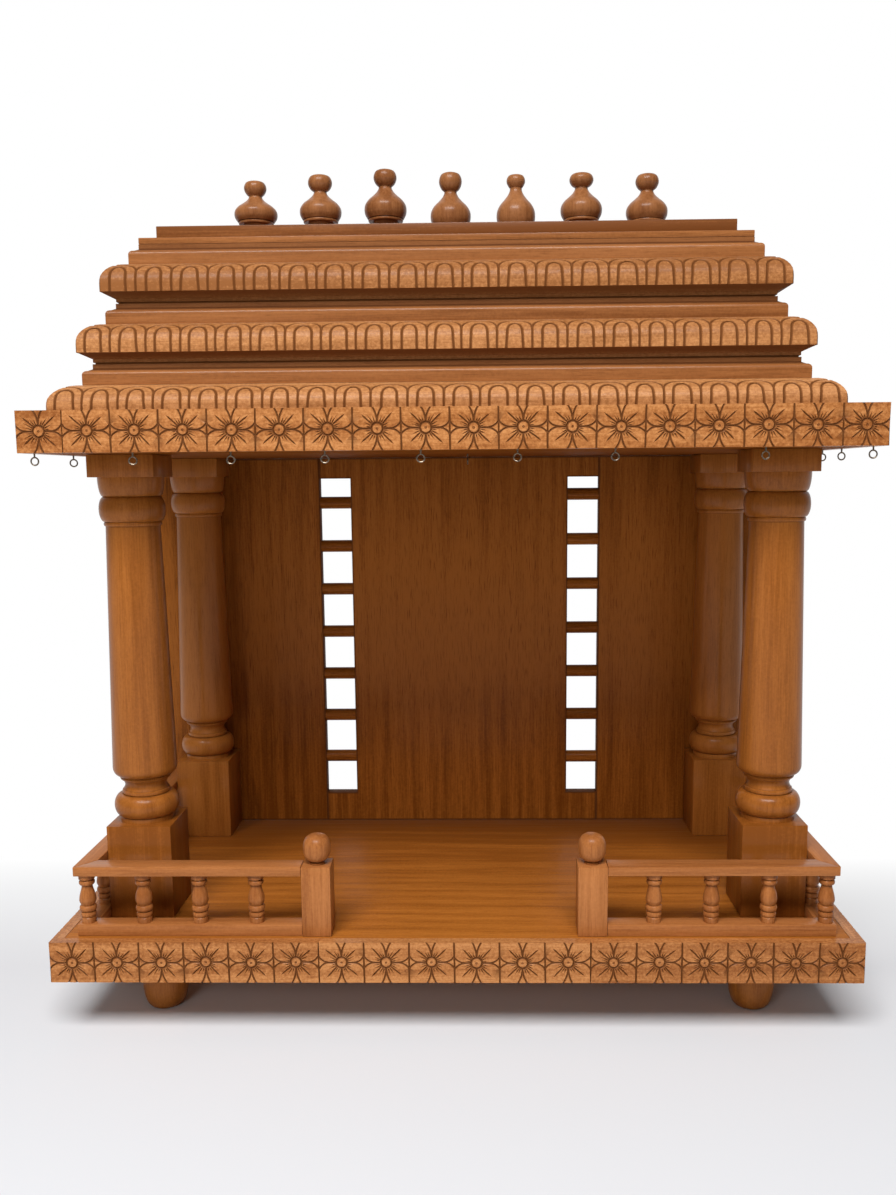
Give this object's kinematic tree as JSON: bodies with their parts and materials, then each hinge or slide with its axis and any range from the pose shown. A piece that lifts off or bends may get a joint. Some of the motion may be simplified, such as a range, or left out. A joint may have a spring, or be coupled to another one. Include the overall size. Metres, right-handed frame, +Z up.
{
  "type": "pooja mandir",
  "caption": "Wooden household shrine on turned feet: carved deck, turned columns, low balustrade, slotted back and a stepped canopy with a row of finials.",
  "frame": {"origin": "on the floor under the middle of the deck", "axes": "+X to the right seen from the front, +Y from the open front to the boarded back, +Z up"},
  "size_m": [0.914, 0.457, 1.0021],
  "materials": {
    "board": "satin varnished teak",
    "carved_strip": "carved teak, satin varnish, dark grooves",
    "foot": "turned teak, satin varnish",
    "column": "turned teak, satin varnish",
    "back_board": "satin varnished teak",
    "rail": "satin varnished teak",
    "petal_moulding": "carved teak, satin varnish, dark grooves",
    "plain_moulding": "satin varnished teak",
    "finial": "turned teak, satin varnish"
  },
  "bodies": {
    "root": {"deck": "board", "bearer_left": "board", "bearer_right": "board", "base_strip_front_left": "carved_strip", "base_strip_front_middle": "carved_strip", "base_strip_front_right": "carved_strip", "base_strip_back": "carved_strip", "base_strip_left": "carved_strip", "base_strip_right": "carved_strip", "foot_front_left": "foot", "foot_front_right": "foot", "foot_back_left": "foot", "foot_back_right": "foot", "column_front_left": "column", "column_front_right": "column", "column_back_left": "column", "column_back_right": "column", "back_board_left": "back_board", "back_board_middle": "back_board", "back_board_right": "back_board", "newel_left": "rail", "newel_right": "rail", "newel_ball_left": "rail", "newel_ball_right": "rail", "balustrade_front_left": "rail", "balustrade_front_right": "rail", "balustrade_side_left": "rail", "balustrade_side_right": "rail", "handrail_front_left": "rail", "handrail_front_right": "rail", "handrail_side_left": "rail", "handrail_side_right": "rail", "ceiling_board": "board", "canopy_strip_front": "carved_strip", "canopy_strip_back": "carved_strip", "canopy_strip_left": "carved_strip", "canopy_strip_right": "carved_strip", "petal_moulding_1": "petal_moulding", "petal_moulding_2": "petal_moulding", "petal_moulding_3": "petal_moulding", "ovolo_moulding_1": "plain_moulding", "ovolo_moulding_2": "plain_moulding", "ovolo_moulding_3": "plain_moulding", "roof_cap": "plain_moulding", "roof_plate": "plain_moulding", "finial_1": "finial", "finial_2": "finial", "finial_3": "finial", "finial_4": "finial", "finial_5": "finial", "finial_6": "finial", "finial_7": "finial"}
  },
  "joints": []
}
